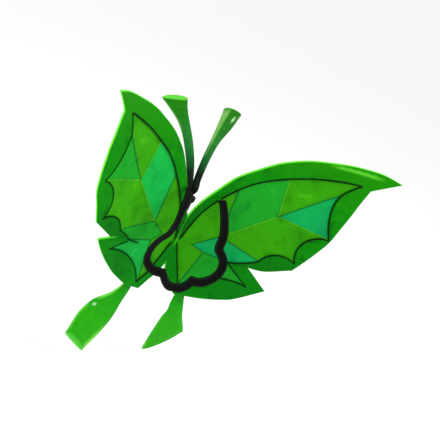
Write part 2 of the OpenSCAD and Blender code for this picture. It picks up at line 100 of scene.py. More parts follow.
class Shader:
    """A short way to make and join material nodes."""

    def __init__(self, name):
        self.material = bpy.data.materials.new(name)
        self.material.use_nodes = True
        self.tree = self.material.node_tree
        self.surface = self.tree.nodes["Principled BSDF"]

    def node(self, kind, **inputs):
        n = self.tree.nodes.new(kind)
        for key, value in inputs.items():
            self.put(n, key.replace("_", " "), value)
        return n

    def put(self, n, key, value):
        socket = n.inputs[int(key) if key.isdigit() else key]
        if isinstance(value, bpy.types.NodeSocket):
            self.tree.links.new(value, socket)
        else:
            socket.default_value = value

    def place(self, scale):
        coords = self.node("ShaderNodeTexCoord")
        mapping = self.node("ShaderNodeMapping", Vector=coords.outputs["Object"], Scale=scale)
        return mapping.outputs["Vector"]

    def noise(self, scale, detail=4.0, rough=0.55, stretch=(1, 1, 1), distortion=0.0):
        return self.node("ShaderNodeTexNoise", Vector=self.place(stretch), Scale=scale, Detail=detail,
                         Roughness=rough, Distortion=distortion).outputs["Fac"]

    def ramp(self, value, *stops):
        r = self.node("ShaderNodeValToRGB", Fac=value)
        elements = r.color_ramp.elements
        while len(elements) < len(stops):
            elements.new(0.5)
        for element, (position, colour) in zip(elements, stops):
            element.position = position
            element.color = colour if len(colour) == 4 else (*colour, 1)
        return r.outputs["Color"]

    def span(self, value, a, b, low=0.0, high=1.0):
        m = self.node("ShaderNodeMapRange", Value=value)
        for key, v in (("From Min", a), ("From Max", b), ("To Min", low), ("To Max", high)):
            m.inputs[key].default_value = v
        return m.outputs["Result"]

    def mix(self, factor, a, b, kind="MIX"):
        m = self.tree.nodes.new("ShaderNodeMix")
        m.data_type = "RGBA"
        m.blend_type = kind
        for socket, value in ((m.inputs[0], factor), (m.inputs[6], a), (m.inputs[7], b)):
            if isinstance(value, bpy.types.NodeSocket):
                self.tree.links.new(value, socket)
            else:
                socket.default_value = value
        return m.outputs[2]

    def math(self, kind, a, b=0.0):
        m = self.node("ShaderNodeMath")
        m.operation = kind
        self.put(m, "0", a)
        self.put(m, "1", b)
        return m.outputs[0]

    def attribute(self, name):
        a = self.node("ShaderNodeAttribute")
        a.attribute_name = name
        return a.outputs["Fac"]

    def bump(self, height, depth, strength=0.6):
        b = self.node("ShaderNodeBump", Height=height, Strength=strength, Distance=depth)
        self.tree.links.new(b.outputs["Normal"], self.surface.inputs["Normal"])

    def set(self, **inputs):
        for key, value in inputs.items():
            self.put(self.surface, key.replace("_", " "), value)
        return self.material


def painted(name, base, dark, light, rim=None, root=None, high=None, rough=0.5, grunge=0.5):
    """Sponged paint: soft clouds of shade, dark brush specks, and faint streaks along the brush's way."""
    s = Shader(name)
    clouds = s.noise(26, 4, 0.55, distortion=0.5)
    colour = s.ramp(clouds, (0.3, dark), (0.47, base), (0.6, base), (0.74, light))
    grain = s.noise(150, 9, 0.72, distortion=0.8)
    patches = s.span(s.noise(38, 3, 0.5), 0.44, 0.62)
    scuffs = s.math("MULTIPLY", s.span(grain, 0.54, 0.66), patches)
    colour = s.mix(s.math("MULTIPLY", scuffs, grunge), colour, dark, "MIX")
    streaks = s.noise(90, 6, 0.7, stretch=(1, 0.6, 2.6), distortion=0.3)
    colour = s.mix(s.span(streaks, 0.5, 0.72, 0, 0.25), colour, light)
    if high:
        colour = s.mix(s.attribute("high"), colour, high)
    # root: painted shade near the spine, along pane edges and deep inside the horn linings
    if root:
        colour = s.mix(s.attribute("root"), colour, root)
    # rim: a painted highlight on the wings' cut edges
    if rim:
        colour = s.mix(s.attribute("rim"), colour, rim)
    s.bump(s.math("ADD", grain, s.math("MULTIPLY", streaks, 0.6)), 0.0004, 0.5)
    return s.set(Base_Color=colour, Roughness=s.span(grain, 0.3, 0.7, rough - 0.08, rough + 0.12),
                 Specular_IOR_Level=0.03)


# Painted highlight: pale green for the wings' cut edges, where the side faces catch the light
EDGE_HIGHLIGHT = srgb(104, 226, 52)
LEAF_DARK, LEAF_LIGHT = srgb(6, 96, 12), srgb(26, 146, 8)
leaf = painted("leaf_foam", srgb(12, 127, 8), LEAF_DARK, LEAF_LIGHT, rim=EDGE_HIGHLIGHT, root=srgb(6, 82, 14),
               high=srgb(28, 134, 2))
hind_leaf = painted("hind_leaf_foam", srgb(8, 122, 12), srgb(4, 92, 14), srgb(16, 142, 14), rim=EDGE_HIGHLIGHT,
                    root=srgb(8, 112, 14))
PANES = {
    "lime": painted("pane_lime", srgb(50, 150, 8), srgb(36, 128, 6), srgb(64, 168, 12), root=srgb(46, 140, 6),
                    rough=0.42),
    "green": painted("pane_green", srgb(26, 150, 34), srgb(14, 126, 34), srgb(36, 168, 38),
                     root=srgb(24, 144, 30), rough=0.42),
    "emerald": painted("pane_emerald", srgb(20, 168, 64), srgb(12, 146, 58), srgb(30, 186, 74),
                       root=srgb(24, 166, 44), rough=0.42),
    "teal": painted("pane_teal", srgb(14, 158, 78), srgb(8, 136, 78), srgb(26, 174, 84),
                    root=srgb(12, 154, 74), rough=0.42),
}
piping_paint = painted("piping", srgb(8, 46, 10), srgb(5, 30, 9), srgb(14, 64, 14), rough=0.5, grunge=0.3)
vein_bright = painted("vein_bright", srgb(82, 176, 34), srgb(54, 150, 22), srgb(108, 200, 56), rough=0.45,
                      grunge=0.2)
vein_dark = painted("vein_dark", srgb(16, 112, 50), srgb(12, 92, 44), srgb(26, 134, 56), rough=0.45,
                    grunge=0.2)


def horn_paint(name, stops, rim, side_light):
    """Airbrushed foam: shade runs along the horn, with cross banding, a painted highlight on a fold and
    painted highlights along the lit sides.
    """
    s = Shader(name)
    along = s.attribute("along")
    clouds = s.noise(34, 5, 0.6, distortion=0.5)
    wander = s.math("ADD", along, s.span(clouds, 0.3, 0.7, -0.05, 0.05))
    colour = s.ramp(wander, *stops)
    grain = s.noise(150, 8, 0.7, stretch=(1, 1, 0.5))
    colour = s.mix(s.span(grain, 0.5, 0.7, 0, 0.3), colour, (0.01, 0.09, 0.006, 1))
    colour = s.mix(s.attribute("band"), colour, (0.004, 0.05, 0.006, 1))
    # Painted highlight along the horn's lit sides, broken up by the clouds
    side_highlight = s.math("MULTIPLY", s.attribute("side_highlight"), s.span(clouds, 0.25, 0.6, 0.7, 1.0))
    colour = s.mix(side_highlight, colour, side_light)
    # Painted highlight: a small glint on a fold
    colour = s.mix(s.attribute("highlight_spot"), colour, (0.62, 0.95, 0.55, 1))
    colour = s.mix(s.attribute("rim"), colour, rim)
    s.bump(s.math("ADD", grain, s.math("MULTIPLY", clouds, 0.5)), 0.0004, 0.45)
    return s.set(Base_Color=colour, Roughness=s.span(grain, 0.3, 0.7, 0.36, 0.52), Specular_IOR_Level=0.05)


antenna_paint = horn_paint("antenna_foam", ((0.0, (0.004, 0.005, 0.004)), (0.2, (0.006, 0.012, 0.008)),
                                            (0.4, srgb(18, 94, 36)), (0.6, srgb(34, 126, 42)),
                                            (0.8, srgb(26, 116, 14)), (1.0, srgb(30, 120, 8))),
                           srgb(108, 200, 60), srgb(122, 184, 92))
tail_paint = horn_paint("tail_foam", ((0.0, srgb(14, 120, 20)), (0.2, srgb(26, 150, 14)),
                                      (0.6, srgb(38, 160, 12)), (1.0, srgb(40, 162, 14))),
                        srgb(104, 222, 70), srgb(120, 218, 74))
# The lining's root colour is painted shade deep inside the horn
lining_paint = painted("lining", srgb(96, 212, 66), srgb(70, 190, 50), srgb(120, 226, 88),
                       root=srgb(30, 130, 26), rough=0.5)


def webbing():
    s = Shader("black_webbing")
    u, v = s.attribute("along_m"), s.attribute("across_m")
    warp = s.math("SINE", s.math("MULTIPLY", v, 5200))
    weft = s.math("SINE", s.math("MULTIPLY", u, 4100))
    weave = s.math("MULTIPLY", warp, weft)
    fuzz = s.noise(900, 3, 0.6)
    wear = s.noise(34, 4, 0.6)
    colour = s.ramp(s.span(weave, -1, 1), (0.0, (0.001, 0.0014, 0.001)), (1.0, (0.005, 0.0065, 0.005)))
    colour = s.mix(s.span(wear, 0.45, 0.7, 0, 0.35), colour, (0.008, 0.0095, 0.008, 1))
    s.bump(s.math("ADD", weave, s.math("MULTIPLY", fuzz, 0.8)), 0.0003, 0.5)
    return s.set(Base_Color=colour, Roughness=0.85, Sheen_Weight=0.006, Sheen_Roughness=0.5,
                 Specular_IOR_Level=0.05)


def thread():
    s = Shader("thread")
    twist = s.noise(2600, 2, 0.5, stretch=(1, 1, 3))
    colour = s.ramp(twist, (0.3, (0.006, 0.006, 0.007)), (0.7, (0.022, 0.022, 0.024)))
    s.bump(twist, 0.0001, 0.6)
    return s.set(Base_Color=colour, Roughness=0.6)


def metal(name, base, dark, rough, metallic):
    s = Shader(name)
    brush = s.noise(700, 4, 0.6, stretch=(1, 1, 0.06))
    spots = s.noise(120, 6, 0.7)
    colour = s.ramp(s.math("ADD", s.math("MULTIPLY", brush, 0.5), s.math("MULTIPLY", spots, 0.5)),
                    (0.35, dark), (0.62, base))
    s.bump(brush, 0.00008, 0.4)
    return s.set(Base_Color=colour, Metallic=metallic,
                 Roughness=s.span(spots, 0.3, 0.7, rough - 0.07, rough + 0.1))


def moulded():
    s = Shader("black_plastic")
    grain = s.noise(1400, 3, 0.6)
    dust = s.noise(60, 5, 0.65)
    colour = s.ramp(dust, (0.35, (0.004, 0.005, 0.005)), (0.7, (0.016, 0.017, 0.016)))
    s.bump(grain, 0.0001, 0.5)
    return s.set(Base_Color=colour, Roughness=s.span(dust, 0.3, 0.7, 0.42, 0.62), Specular_IOR_Level=0.35)


def clear_film():
    s = Shader("clear_film")
    haze = s.noise(60, 5, 0.6)
    scratch = s.noise(240, 5, 0.7, stretch=(1, 1, 0.08))
    s.bump(scratch, 0.0001, 0.25)
    return s.set(Base_Color=s.ramp(haze, (0.3, (0.42, 0.74, 0.42)), (0.7, (0.62, 0.88, 0.58))),
                 Roughness=0.12, Alpha=0.3, Coat_Weight=0.6, Coat_Roughness=0.08)


webbing_cloth, thread_paint, black_plastic, film_clear = webbing(), thread(), moulded(), clear_film()
steel = metal("steel", (0.62, 0.62, 0.64, 1), (0.36, 0.36, 0.37, 1), 0.3, 1.0)
dark_steel = metal("dark_steel", (0.03, 0.032, 0.034, 1), (0.012, 0.013, 0.014, 1), 0.42, 0.35)


# ---- Making meshes ----

def build(name, points, faces, materials, body, attributes=None, face_slots=None, smooth=True, replaces=(),
          slot=None):
    mesh = bpy.data.meshes.new(name)
    mesh.from_pydata([tuple(p) for p in points], [], [tuple(int(i) for i in f) for f in faces])
    for m in materials:
        mesh.materials.append(m)
    for key, values in (attributes or {}).items():
        a = mesh.attributes.new(key, "FLOAT", "POINT")
        a.data.foreach_set("value", np.asarray(values, np.float32))
    if face_slots is not None:
        mesh.polygons.foreach_set("material_index", np.asarray(face_slots, np.int32))
    mesh.polygons.foreach_set("use_smooth", np.full(len(mesh.polygons), smooth))
    mesh.update()
    obj = bpy.data.objects.new(name, mesh)
    scene.collection.objects.link(obj)
    if body:
        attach(obj, body)
    if replaces:
        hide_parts(*replaces)
    return obj


def unit(v):
    return np.array(v, float) / np.linalg.norm(v)


def curve_through(points, step=3.0, corner=26.0):
    """An open path through given points, rounded except where it turns sharply."""
    p = np.array(points, float)
    d = np.diff(p, axis=0)
    length = np.linalg.norm(d, axis=1)
    u = d / length[:, None]
    n = len(p)
    start, end = u.copy(), u.copy()
    for i in range(1, n - 1):
        turn = math.degrees(math.acos(max(-1, min(1, float(u[i - 1] @ u[i])))))
        if turn < corner:
            t = (u[i - 1] * length[i] + u[i] * length[i - 1]) / (length[i] + length[i - 1])
            t /= np.linalg.norm(t)
            end[i - 1], start[i] = t, t
    out = []
    for i in range(n - 1):
        k = max(1, int(math.ceil(length[i] / step)))
        for j in range(k):
            t = j / k
            h = (2 * t**3 - 3 * t**2 + 1, t**3 - 2 * t**2 + t, -2 * t**3 + 3 * t**2, t**3 - t**2)
            out.append(h[0] * p[i] + h[1] * start[i] * length[i]
                       + h[2] * p[i + 1] + h[3] * end[i] * length[i])
    out.append(p[-1])
    return np.array(out)


def outline(*paths):
    """One closed outline, counter-clockwise, from paths that meet end to end."""
    joined = np.vstack(paths)
    keep = np.linalg.norm(joined - np.roll(joined, 1, axis=0), axis=1) > 0.02
    joined = joined[keep]
    x, z = joined.T
    area = np.sum(x * np.roll(z, -1) - np.roll(x, -1) * z)
    return joined if area > 0 else joined[::-1]


def edge_distance(points, path, closed=True):
    a = path
    b = np.roll(path, -1, axis=0)
    if not closed:
        a, b = a[:-1], b[:-1]
    d = b - a
    out = np.empty(len(points))
    for k in range(0, len(points), 1500):
        q = points[k:k + 1500, None, :] - a[None]
        t = np.clip((q * d).sum(2) / np.maximum((d * d).sum(1), 1e-9), 0, 1)
        out[k:k + 1500] = np.sqrt(((q - t[..., None] * d) ** 2).sum(2)).min(1)
    return out


def inside(points, poly):
    x, z = points[:, 0][:, None], points[:, 1][:, None]
    ax, az = poly[:, 0], poly[:, 1]
    bx, bz = np.roll(ax, -1), np.roll(az, -1)
    crosses = ((az > z) != (bz > z)) & (x < (bx - ax) * (z - az) / np.where(bz == az, 1e-9, bz - az) + ax)
    return crosses.sum(1) % 2 == 1


def sheet_points(poly, radii, spacing):
    """Points for a relief: the outline, rings just inside it, then an even grid."""
    forward = np.roll(poly, -1, axis=0) - np.roll(poly, 1, axis=0)
    inward = np.stack([-forward[:, 1], forward[:, 0]], 1)
    inward /= np.maximum(np.linalg.norm(inward, axis=1), 1e-9)[:, None]
    groups = [poly]
    for r in radii:
        ring = poly + inward * r
        ok = inside(ring, poly)
        ring = ring[ok]
        groups.append(ring[edge_distance(ring, poly) > 0.93 * r])
    low, high = poly.min(0), poly.max(0)
    rows = np.arange(low[1], high[1], spacing * 0.866)
    grid = np.array([(x + (i % 2) * spacing / 2, z) for i, z in enumerate(rows)
                     for x in np.arange(low[0], high[0], spacing)])
    grid = grid[inside(grid, poly)]
    reach = (radii[-1] if radii else 0) + spacing * 0.55
    groups.append(grid[edge_distance(grid, poly) > reach])
    return np.vstack(groups)


def triangulate(points, border):
    n = len(border)
    verts, _, faces, *_ = delaunay_2d_cdt([Vector(p) for p in points], [(i, (i + 1) % n) for i in range(n)],
                                          [], 1, 1e-6)
    if len(verts) != len(points):
        raise RuntimeError(f"an outline crosses itself: {len(points)} points became {len(verts)}")
    order = np.array([tuple(v) for v in verts])
    return order, faces


def relief(name, poly, radii, spacing, layers, place, flip, materials, body, shade=None, **how):
    """A closed thin piece: front and back reliefs over one outline, joined by a wall."""
    points = sheet_points(poly, radii, spacing)
    points, faces = triangulate(points, poly)
    distance = edge_distance(points, poly)
    front, back = layers(points, distance)
    n = len(points)
    xyz = np.vstack([place(points, front), place(points, back)])
    all_faces = [tuple(f) for f in faces] + [tuple(i + n for i in reversed(f)) for f in faces]
    for i in range(len(poly)):
        j = (i + 1) % len(poly)
        all_faces.append((j, i, i + n, j + n))
    if flip:
        all_faces = [tuple(reversed(f)) for f in all_faces]
    attributes = shade(points, distance) if shade else {}
    attributes = {k: np.concatenate([v, v]) if len(v) == n else v for k, v in attributes.items()}
    return build(name, xyz, all_faces, materials, body, attributes, **how)


def bead(name, path, width, base, height, place, flip, materials, body, ends=4.0, sides=8, **how):
    """A half-round bead laid along a path on a surface, thinning at its ends."""
    path = np.asarray(path, float)
    step = np.gradient(path, axis=0)
    step /= np.linalg.norm(step, axis=1)[:, None]
    across = np.stack([-step[:, 1], step[:, 0]], 1)
    run = np.concatenate([[0], np.cumsum(np.linalg.norm(np.diff(path, axis=0), axis=1))])
    near = np.minimum(run, run[-1] - run)
    size = 0.25 + 0.75 * np.sqrt(np.clip(near / ends, 0, 1))
    widths = np.broadcast_to(np.asarray(width, float), run.shape)
    angles = np.linspace(0, math.pi, sides)
    points, layers = [], []
    for k, a in enumerate(angles):
        points.append(path + across * (math.cos(a) * widths * size / 2)[:, None])
        layers.append(base - height * size * math.sin(a) ** 0.8)
    points.append(path - across * (widths * size * 0.4)[:, None])
    layers.append(np.full(len(path), base + 0.4))
    points.append(path + across * (widths * size * 0.4)[:, None])
    layers.append(np.full(len(path), base + 0.4))
    m = sides + 2
    xyz = np.stack([place(p, l) for p, l in zip(points, layers)], 1).reshape(-1, 3)
    faces = []
    for i in range(len(path) - 1):
        for k in range(m):
            faces.append((i * m + k, i * m + (k + 1) % m, (i + 1) * m + (k + 1) % m, (i + 1) * m + k))
    faces.append(tuple(reversed(range(m))))
    faces.append(tuple((len(path) - 1) * m + k for k in range(m)))
    if flip:
        faces = [tuple(reversed(f)) for f in faces]
    return build(name, xyz, faces, materials, body, **how)


# ---- The wings' outlines, in millimetres, as part.scad has them ----

RADIUS, LEAN, DEPTH = 708.0, math.radians(11.2), 18.0
CENTRE = (-RADIUS * math.sin(LEAN), -RADIUS * math.cos(LEAN))


def on_wing(side):
    def place(points, layer):
        x = points[:, 0]
        y = CENTRE[1] + np.sqrt((RADIUS + layer) ** 2 - (x - CENTRE[0]) ** 2) - DEPTH
        return np.stack([side * x, y, points[:, 1]], 1) / 1000
    return place


def arc(p, q, s, n):
    """Points from p to q on an arc that stands s to the left of the way."""
    p, q = np.array(p, float), np.array(q, float)
    d = q - p
    half, side = np.linalg.norm(d) / 2, math.copysign(1, s)
    r = (half * half + s * s) / (2 * abs(s))
    out = side * np.array([-d[1], d[0]]) / (2 * half)
    c = (p + q) / 2 - out * (r - abs(s))
    a, h = math.atan2(out[1], out[0]), math.asin(min(1, half / r))
    return [tuple(c + r * np.array([math.cos(a + side * h * (1 - 2 * i / n)),
                                    math.sin(a + side * h * (1 - 2 * i / n))]))
            for i in range(n + 1)]


def straight(*points):
    return curve_through(points, 3, 0)


def until(path, point):
    """The part of a path up to the sample nearest a point."""
    return path[:int(np.argmin(np.linalg.norm(path - np.array(point), axis=1))) + 1]


def after(path, point):
    return path[int(np.argmin(np.linalg.norm(path - np.array(point), axis=1))):]


# Each wing has its own outer edge, as hand-cut foam does. Both are given as a right wing
OUTER = {
    "right": dict(
        fore=[(0.5, -23), (0.5, 31), (4, 47), (12, 68), (22, 87), (34, 107), (45, 126), (57, 144),
              (71, 159), (87, 174), (104, 190), (120, 204), (147, 222), (175, 237), (197, 246),
              (218, 254), (240, 262), (262, 268), (292, 274), (323, 273), (284, 232), (279, 200),
              (275, 167), (270, 134), (265, 102), (249, 54), (230, 9), (175, -22), (156, -25)],
        hind=[(156, -25), (204, -57), (190, -71), (176, -85), (163, -97), (150, -107), (137, -113.5),
              (123, -119.5), (97, -128.5), (72, -134), (46, -139), (37, -134), (22, -119), (9, -101),
              (0.5, -78), (0.5, -23)]),
    "left": dict(
        fore=[(0.5, -23), (0.5, 30), (7.5, 42), (17, 59), (26, 76), (34.8, 92.8), (45, 109.4),
              (55.1, 125.2), (64, 138.2), (75.4, 153.6), (88, 168.5), (106, 185.5), (126, 202),
              (150, 217.5), (172, 229.5), (198, 243), (225, 253.5), (250, 261), (274, 268), (296, 273),
              (321, 274), (300, 253), (285, 236), (284, 219), (282.5, 202), (281, 184), (280, 165),
              (277, 144), (274, 123), (269.5, 100), (263.5, 77), (245, 43), (227, 8), (172, -26),
              (157, -26)],
        hind=[(157, -26), (202, -30), (187, -49), (171, -66.5), (155, -82), (138, -96.5), (123, -108.5),
              (107, -118.5), (78, -134.5), (38, -144), (24, -123), (9, -101), (0.5, -78), (0.5, -23)]),
}
# Each wing's window corners, where the veins and panes meet, and the points between them
CORNERS = {
    "right": dict(
        root_top=(5, -20), root_low=(1.6, -26), tip=(268, 233.6), joint=(244, 196.5), cusp_outer=(261, 102),
        cusp_corner=(228, 24.6), cusp_lower=(168, -3), junction=(114.5, -31), hind_tip=(169, -66),
        hind_cusp=(46.5, -122.5), fore=(163.5, 101.5), mid=(80, 14.3), root=(34, -22.5), low=(62.5, -30),
        foot=(44.8, -114), lead_outer=(150.5, 184.8), lead_inner=(70.6, 123),
        lead_a=[(11.8, 14.4), (27, 60), (43, 86.5), (57.4, 106.8)],
        lead_b=[(90.5, 143.7), (113.7, 161.8), (132.6, 174)],
        lead_c=[(171, 195.6), (189.8, 205), (224.4, 219.6), (250.4, 229)], trail_a=[(256.5, 218.5)],
        trail_b=[(240.6, 172), (244.4, 146), (252, 121.5)], inner=[], lower_bulge=3, stem=(105, -34),
        hind_stem=(116, -33), hind_end=(5.8, -35)),
    "left": dict(
        root_top=(5, -20), root_low=(9, -27), tip=(262.5, 233), joint=(239.5, 192.5), cusp_outer=(254, 97),
        cusp_corner=(214.5, 15), cusp_lower=(155, -11.5), junction=(118, -33), hind_tip=(160, -53),
        hind_cusp=(51, -129), fore=(159.5, 96.8), mid=(75, 11), root=(42, -14), low=(64, -31),
        foot=(49, -121), lead_outer=(153.5, 181), lead_inner=(77.8, 117.8),
        lead_a=[(13.6, 10), (33.4, 58.5), (49.5, 82), (63.4, 101)],
        lead_b=[(95.6, 138), (117, 156.8), (135, 170)],
        lead_c=[(172.4, 192.6), (191, 202.8), (226, 218.8), (248, 228)], trail_a=[(249.5, 212)],
        trail_b=[(236.4, 167), (237.4, 142), (243, 118.5)], inner=[(34.5, -104), (27.5, -85)], lower_bulge=-2,
        stem=(90, -39), hind_stem=(119, -34.5), hind_end=(11.5, -35.2)),
}


def wing_lines(side_name):
    """The frames' and panes' outlines on one wing, and the parts that are its outer edge."""
    edges, c = OUTER[side_name], CORNERS[side_name]
    fore, hind = curve_through(edges["fore"], 3, 22), curve_through(edges["hind"], 3, 22)
    notch, heel = edges["fore"][-1], (0.5, -23)
    leading = curve_through([c["root_top"], *c["lead_a"], c["lead_inner"], *c["lead_b"], c["lead_outer"],
                             *c["lead_c"], c["tip"]], 3)
    trailing = curve_through([c["tip"], *c["trail_a"], c["joint"], *c["trail_b"], c["cusp_outer"]], 3, 40)
    scallop_outer = curve_through(arc(c["cusp_outer"], c["cusp_corner"], -22, 12), 3)
    scallop_corner = curve_through(arc(c["cusp_corner"], c["cusp_lower"], -15.5, 10), 3)
    scallop_lower = curve_through(arc(c["cusp_lower"], c["junction"], c["lower_bulge"], 6), 3)
    scallop_hind = curve_through(arc(c["hind_tip"], c["hind_cusp"], -20, 14), 3)
    hind_inner = curve_through([c["hind_cusp"], *c["inner"], c["root_low"]], 3, 40)
    lines = {
        "fore_frame": outline(fore, straight(notch, c["junction"]), scallop_lower[::-1], scallop_corner[::-1],
                              scallop_outer[::-1], trailing[::-1], leading[::-1],
                              straight(c["root_top"], heel)),
        "hind_frame": outline(hind, straight(heel, c["root_top"], c["root_low"]), hind_inner[::-1],
                              scallop_hind[::-1], straight(c["hind_tip"], c["junction"], notch)),
        "tip_pane": outline(after(leading, c["lead_outer"]), until(trailing, c["joint"]),
                            straight(c["joint"], c["fore"], c["lead_outer"])),
        "trailing_pane": outline(after(trailing, c["joint"]),
                                 straight(c["cusp_outer"], c["fore"], c["joint"])),
        "leading_pane": outline(until(after(leading, c["lead_inner"]), c["lead_outer"]),
                                straight(c["lead_outer"], c["fore"], c["mid"], c["lead_inner"])),
        "outer_pane": outline(scallop_outer, scallop_corner,
                              straight(c["cusp_lower"], c["mid"], c["fore"], c["cusp_outer"])),
        "root_pane": outline(until(leading, c["lead_inner"]),
                             straight(c["lead_inner"], c["mid"], c["root"], c["root_top"])),
        "lower_pane": outline(scallop_lower, straight(c["junction"], c["low"], c["root"], c["mid"],
                                                      c["cusp_lower"])),
        "hind_pane": outline(straight(c["junction"], c["hind_tip"]), scallop_hind,
                             straight(c["hind_cusp"], c["foot"], c["low"], c["junction"])),
        "hind_root_pane": outline(straight(c["root_top"], c["root"], c["low"], c["foot"], c["hind_cusp"]),
                                  hind_inner, straight(c["root_low"], c["root_top"])),
        "fore_film": outline(leading, trailing, scallop_outer, scallop_corner, scallop_lower,
                             straight(c["junction"], c["low"], c["root"], c["root_top"])),
        "hind_film": outline(straight(c["root_top"], c["root"], c["low"], c["junction"], c["hind_tip"]),
                             scallop_hind, hind_inner, straight(c["root_low"], c["root_top"])),
    }
    window = np.vstack([leading, trailing[1:], scallop_outer[1:], scallop_corner[1:], scallop_lower[1:],
                        straight(c["junction"], c["stem"])[1:]])
    low_window = np.vstack([straight(c["hind_stem"], c["hind_tip"]), scallop_hind[1:], hind_inner[1:-1],
                            straight(c["root_low"], c["hind_end"])[-1:]])
    return lines, {"fore_frame": fore, "hind_frame": hind}, window, low_window, len(leading)


COLOURS = {
    "left": dict(tip="lime", trailing="green", leading="emerald", outer="lime", root="lime", lower="green",
                 hind="emerald", hind_root="lime"),
    "right": dict(tip="lime", trailing="teal", leading="green", outer="lime", root="lime", lower="teal",
                  hind="green", hind_root="lime"),
}
# Each vein runs between two corners and is bright or dark
VEINS = [
    ("fore", "lead_outer", True), ("fore", "joint", False), ("fore", "cusp_outer", True),
    ("fore", "mid", True), ("mid", "lead_inner", False), ("mid", "cusp_lower", False),
    ("mid", "root", False), ("root", "low", False), ("low", "junction", False), ("low", "foot", False),
]


def frame_layers(points, distance):
    """Foam cut square with a small soft edge, and a slight crown over the broad parts."""
    r = 0.9
    drop = np.where(distance < r, r - np.sqrt(np.maximum(r * r - (r - distance) ** 2, 0)), 0)
    crown = 0.8 * (1 - np.exp(-distance / 9))
    wobble = 0.16 * np.sin(points[:, 0] / 13 + 0.7) * np.sin(points[:, 1] / 11) * np.clip(distance / 6, 0, 1)
    return -3 + drop - crown - wobble, 3 - drop + 0.3 * crown


def step(value, a, b):
    t = np.clip((value - a) / (b - a), 0, 1)
    return t * t * (3 - 2 * t)


def rim_shade(side_name, part, silhouette):
    """Painted highlight on the cut edge, standing in for the lit side faces; a painted highlight streak runs
    out to the right wing's tip; painted shade darkens the frame near the spine and across its lower middle;
    the fore frame turns lighter and yellower towards the top.
    """
    def shade(points, distance):
        outer = edge_distance(points, silhouette, closed=False)
        x, z = points.T
        reach = np.hypot(x, z + 20)
        # rim: painted highlight on the cut edge and a thin band of the face beside it
        rim = np.clip((0.75 - outer) / 0.5, 0, 1)
        if side_name == "right":
            # Painted highlight: a pale streak along the right wing's leading edge out to the tip
            tip_highlight_line = curve_through([(196, 243), (238, 253), (270, 260), (300, 266)], 3)
            off = edge_distance(points, tip_highlight_line, closed=False)
            rim = np.maximum(rim, 0.75 * np.exp(-(off / 2.6) ** 2) * step(x, 196, 226) * step(-x, -300, -276))
        # root: painted shade, darkest near the spine and across the lower middle, weaker on the hind frames
        depth = 0.85 if part == "fore_frame" else 0.35
        root = depth * np.clip(1 - reach / 150, 0, 1) ** 1.2 + 0.5 * step(-z, -60, 10) * step(x, 60, 140)
        return {"rim": rim, "root": root, "high": 0.85 * step(z, 150, 250)}
    return shade


def pane_layers(points, distance):
    pillow = 0.55 * (1 - np.exp(-distance / 5))
    r = 0.6
    drop = np.where(distance < r, r - np.sqrt(np.maximum(r * r - (r - distance) ** 2, 0)), 0)
    return -0.8 + drop - pillow, np.full(len(points), 0.58)


# Painted shade: each pane darkens towards the wing root and along its edges
def pane_shade(points, distance):
    reach = np.hypot(points[:, 0] - 30, points[:, 1] + 30)
    return {"root": 0.2 * np.clip(1 - reach / 120, 0, 1) + 0.3 * np.clip(1 - distance / 3, 0, 1)}


def film_layers(points, distance):
    return np.full(len(points), 0.64), np.full(len(points), 1.0)


for side_name, side in (("left", -1), ("right", 1)):
    body = side_name + "_wing"
    place, flip = on_wing(side), side < 0
    lines, silhouettes, window, low_window, lead_count = wing_lines(side_name)
    name = lambda part: f"{side_name}_{part}_look"
    for part, paint in (("fore_frame", leaf), ("hind_frame", hind_leaf)):
        relief(name(part), lines[part], (0.3, 0.7, 1.2, 3.0), 4.0, frame_layers, place, flip, [paint], body,
               rim_shade(side_name, part, silhouettes[part]), replaces=[f"{side_name}_{part}"],
               slot="leaf_foam")
    for part, shade_name in COLOURS[side_name].items():
        relief(name(part + "_pane"), lines[part + "_pane"], (0.5, 1.8), 5.0, pane_layers, place, flip,
               [PANES[shade_name]], body, pane_shade, replaces=[f"{side_name}_{part}_pane"],
               slot="pane_" + shade_name)
    for part in ("fore_film", "hind_film"):
        relief(name(part), lines[part], (), 7.0, film_layers, place, flip, [film_clear], body,
               replaces=[f"{side_name}_{part}"], slot="clear_film")
    run = np.concatenate([[0], np.cumsum(np.linalg.norm(np.diff(window, axis=0), axis=1))])
    turn = run[lead_count - 1]
    widths = np.where(run < turn, 3.5, 2.3) * (1 + 0.12 * np.sin(run / 17))
    bead(name("fore_piping"), window, widths, -3.0, 1.6, place, flip, [piping_paint], body, ends=9,
         replaces=[f"{side_name}_fore_piping"], slot="piping_rubber")
    bead(name("hind_piping"), low_window, 2.4, -3.0, 1.5, place, flip, [piping_paint], body, ends=7,
         replaces=[f"{side_name}_hind_piping"], slot="piping_rubber")
    for k, (p, q, bright) in enumerate(VEINS):
        bead(name(f"vein_{k}"), straight(CORNERS[side_name][p], CORNERS[side_name][q]), 1.8, -1.15, 0.75,
             place, flip, [vein_bright if bright else vein_dark], body, ends=3, sides=6,
             replaces=[f"{side_name}_veins"], slot="vein_paint")


# ---- The harness band ----

